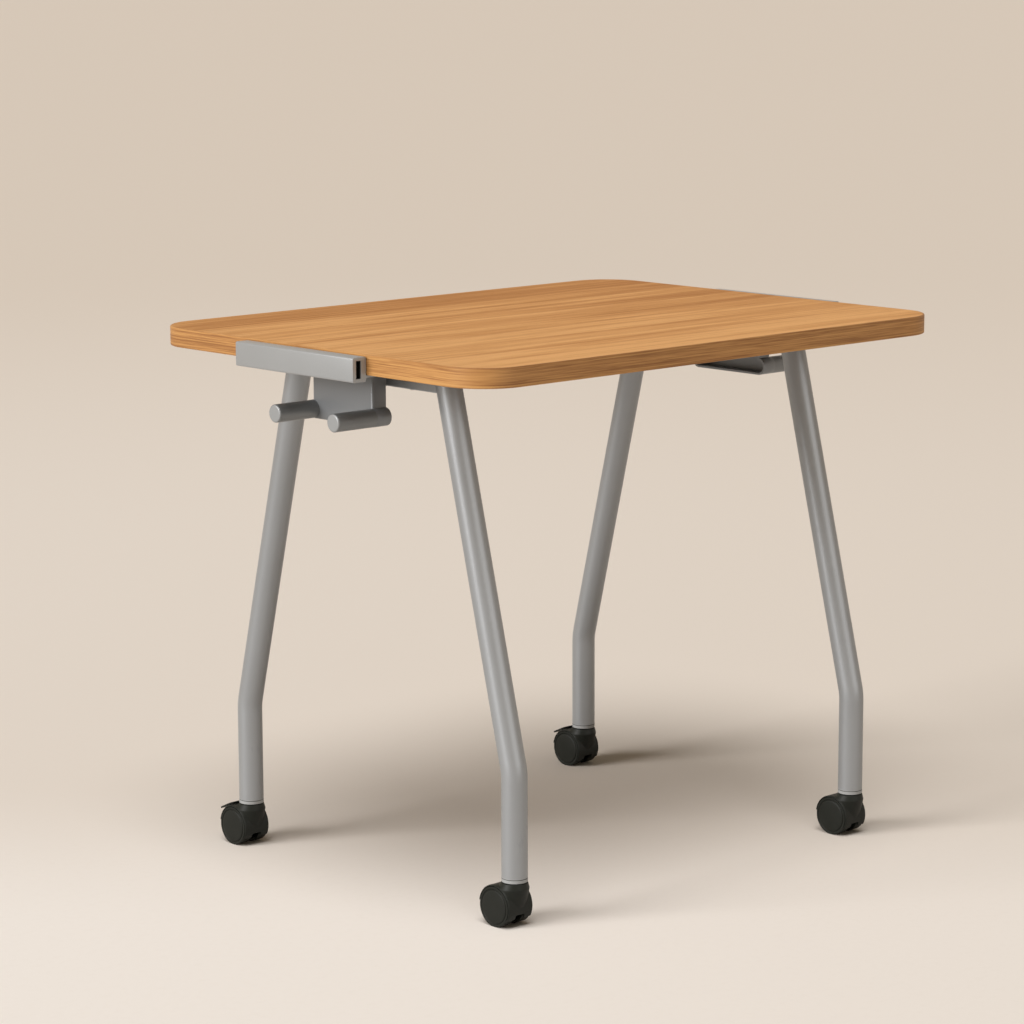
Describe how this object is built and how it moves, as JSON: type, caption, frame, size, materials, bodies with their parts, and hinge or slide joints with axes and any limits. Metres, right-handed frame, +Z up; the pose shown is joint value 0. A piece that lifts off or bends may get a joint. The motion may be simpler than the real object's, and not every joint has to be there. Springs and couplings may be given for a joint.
{
  "type": "student table",
  "caption": "Student table with a wood-grain top, splayed bent tube legs on twin-wheel casters, and a hollow rail and bag pegs at each end.",
  "frame": {"origin": "on the floor under the centre of the top", "axes": "+X along the long side to the right end, +Y to the rear long side, +Z up"},
  "size_m": [0.9114, 0.665, 0.735],
  "materials": {
    "wood_laminate": "satin wood-grain laminate",
    "core_board": "raw particle board",
    "backer": "plain matt laminate",
    "grey_paint": "silver-grey powder coat on steel",
    "grey_peg": "silver-grey powder coat on aluminium",
    "grey_rail": "silver-grey coated extrusion",
    "socket_plastic": "light grey moulded plastic",
    "black_nylon": "black moulded nylon",
    "bare_steel": "bright turned steel",
    "screw_steel": "zinc-plated steel"
  },
  "bodies": {
    "table": {"tabletop_core": "core_board", "top_laminate": "wood_laminate", "underside_backer": "backer", "edge_band": "wood_laminate", "cross_rail_screws": "screw_steel", "dock_rail_screws": "screw_steel", "hook_bracket_screws": "screw_steel", "hook_peg_screws": "screw_steel", "cross_rail_left": "grey_paint", "hook_bracket_left": "grey_paint", "dock_rail_left": "grey_rail", "cross_rail_right": "grey_paint", "hook_bracket_right": "grey_paint", "dock_rail_right": "grey_rail", "leg_left_front": "grey_paint", "hook_peg_left_front": "grey_peg", "caster_socket_left_front": "socket_plastic", "caster_stem_left_front": "bare_steel", "grip_ring_left_front": "bare_steel", "leg_left_rear": "grey_paint", "hook_peg_left_rear": "grey_peg", "caster_socket_left_rear": "socket_plastic", "caster_stem_left_rear": "bare_steel", "grip_ring_left_rear": "bare_steel", "leg_right_front": "grey_paint", "hook_peg_right_front": "grey_peg", "caster_socket_right_front": "socket_plastic", "caster_stem_right_front": "bare_steel", "grip_ring_right_front": "bare_steel", "leg_right_rear": "grey_paint", "hook_peg_right_rear": "grey_peg", "caster_socket_right_rear": "socket_plastic", "caster_stem_right_rear": "bare_steel", "grip_ring_right_rear": "bare_steel"},
    "caster_left_front": {"caster_hood_left_front": "black_nylon", "caster_axle_left_front": "bare_steel"},
    "outer_wheel_body_left_front": {"outer_wheel_left_front": "black_nylon"},
    "inner_wheel_body_left_front": {"inner_wheel_left_front": "black_nylon"},
    "caster_left_rear": {"caster_hood_left_rear": "black_nylon", "caster_axle_left_rear": "bare_steel", "brake_pin_left_rear": "bare_steel"},
    "outer_wheel_body_left_rear": {"outer_wheel_left_rear": "black_nylon"},
    "inner_wheel_body_left_rear": {"inner_wheel_left_rear": "black_nylon"},
    "brake_pedal_body_left_rear": {"brake_pedal_left_rear": "black_nylon"},
    "caster_right_front": {"caster_hood_right_front": "black_nylon", "caster_axle_right_front": "bare_steel"},
    "outer_wheel_body_right_front": {"outer_wheel_right_front": "black_nylon"},
    "inner_wheel_body_right_front": {"inner_wheel_right_front": "black_nylon"},
    "caster_right_rear": {"caster_hood_right_rear": "black_nylon", "caster_axle_right_rear": "bare_steel", "brake_pin_right_rear": "bare_steel"},
    "outer_wheel_body_right_rear": {"outer_wheel_right_rear": "black_nylon"},
    "inner_wheel_body_right_rear": {"inner_wheel_right_rear": "black_nylon"},
    "brake_pedal_body_right_rear": {"brake_pedal_right_rear": "black_nylon"}
  },
  "joints": [
    {"name": "swivel_left_front", "type": "hinge", "parent": "table", "child": "caster_left_front", "pos_m": [-0.3225, -0.27, 0.0598], "axis": [0, 0, 1], "continuous": true},
    {"name": "outer_roll_left_front", "type": "hinge", "parent": "caster_left_front", "child": "outer_wheel_body_left_front", "pos_m": [-0.3225, -0.253, 0.0265], "axis": [1, 0, 0], "continuous": true},
    {"name": "inner_roll_left_front", "type": "hinge", "parent": "caster_left_front", "child": "inner_wheel_body_left_front", "pos_m": [-0.3225, -0.253, 0.0265], "axis": [1, 0, 0], "continuous": true},
    {"name": "swivel_left_rear", "type": "hinge", "parent": "table", "child": "caster_left_rear", "pos_m": [-0.3225, 0.27, 0.0598], "axis": [0, 0, 1], "continuous": true},
    {"name": "outer_roll_left_rear", "type": "hinge", "parent": "caster_left_rear", "child": "outer_wheel_body_left_rear", "pos_m": [-0.3225, 0.287, 0.0265], "axis": [1, 0, 0], "continuous": true},
    {"name": "inner_roll_left_rear", "type": "hinge", "parent": "caster_left_rear", "child": "inner_wheel_body_left_rear", "pos_m": [-0.3225, 0.287, 0.0265], "axis": [1, 0, 0], "continuous": true},
    {"name": "brake_left_rear", "type": "hinge", "parent": "caster_left_rear", "child": "brake_pedal_body_left_rear", "pos_m": [-0.3225, 0.29609, 0.04599], "axis": [-1, 0, 0], "range_deg": [0, 12]},
    {"name": "swivel_right_front", "type": "hinge", "parent": "table", "child": "caster_right_front", "pos_m": [0.3225, -0.27, 0.0598], "axis": [0, 0, 1], "continuous": true},
    {"name": "outer_roll_right_front", "type": "hinge", "parent": "caster_right_front", "child": "outer_wheel_body_right_front", "pos_m": [0.3225, -0.253, 0.0265], "axis": [1, 0, 0], "continuous": true},
    {"name": "inner_roll_right_front", "type": "hinge", "parent": "caster_right_front", "child": "inner_wheel_body_right_front", "pos_m": [0.3225, -0.253, 0.0265], "axis": [1, 0, 0], "continuous": true},
    {"name": "swivel_right_rear", "type": "hinge", "parent": "table", "child": "caster_right_rear", "pos_m": [0.3225, 0.27, 0.0598], "axis": [0, 0, 1], "continuous": true},
    {"name": "outer_roll_right_rear", "type": "hinge", "parent": "caster_right_rear", "child": "outer_wheel_body_right_rear", "pos_m": [0.3225, 0.287, 0.0265], "axis": [1, 0, 0], "continuous": true},
    {"name": "inner_roll_right_rear", "type": "hinge", "parent": "caster_right_rear", "child": "inner_wheel_body_right_rear", "pos_m": [0.3225, 0.287, 0.0265], "axis": [1, 0, 0], "continuous": true},
    {"name": "brake_right_rear", "type": "hinge", "parent": "caster_right_rear", "child": "brake_pedal_body_right_rear", "pos_m": [0.3225, 0.29609, 0.04599], "axis": [-1, 0, 0], "range_deg": [0, 12]}
  ]
}
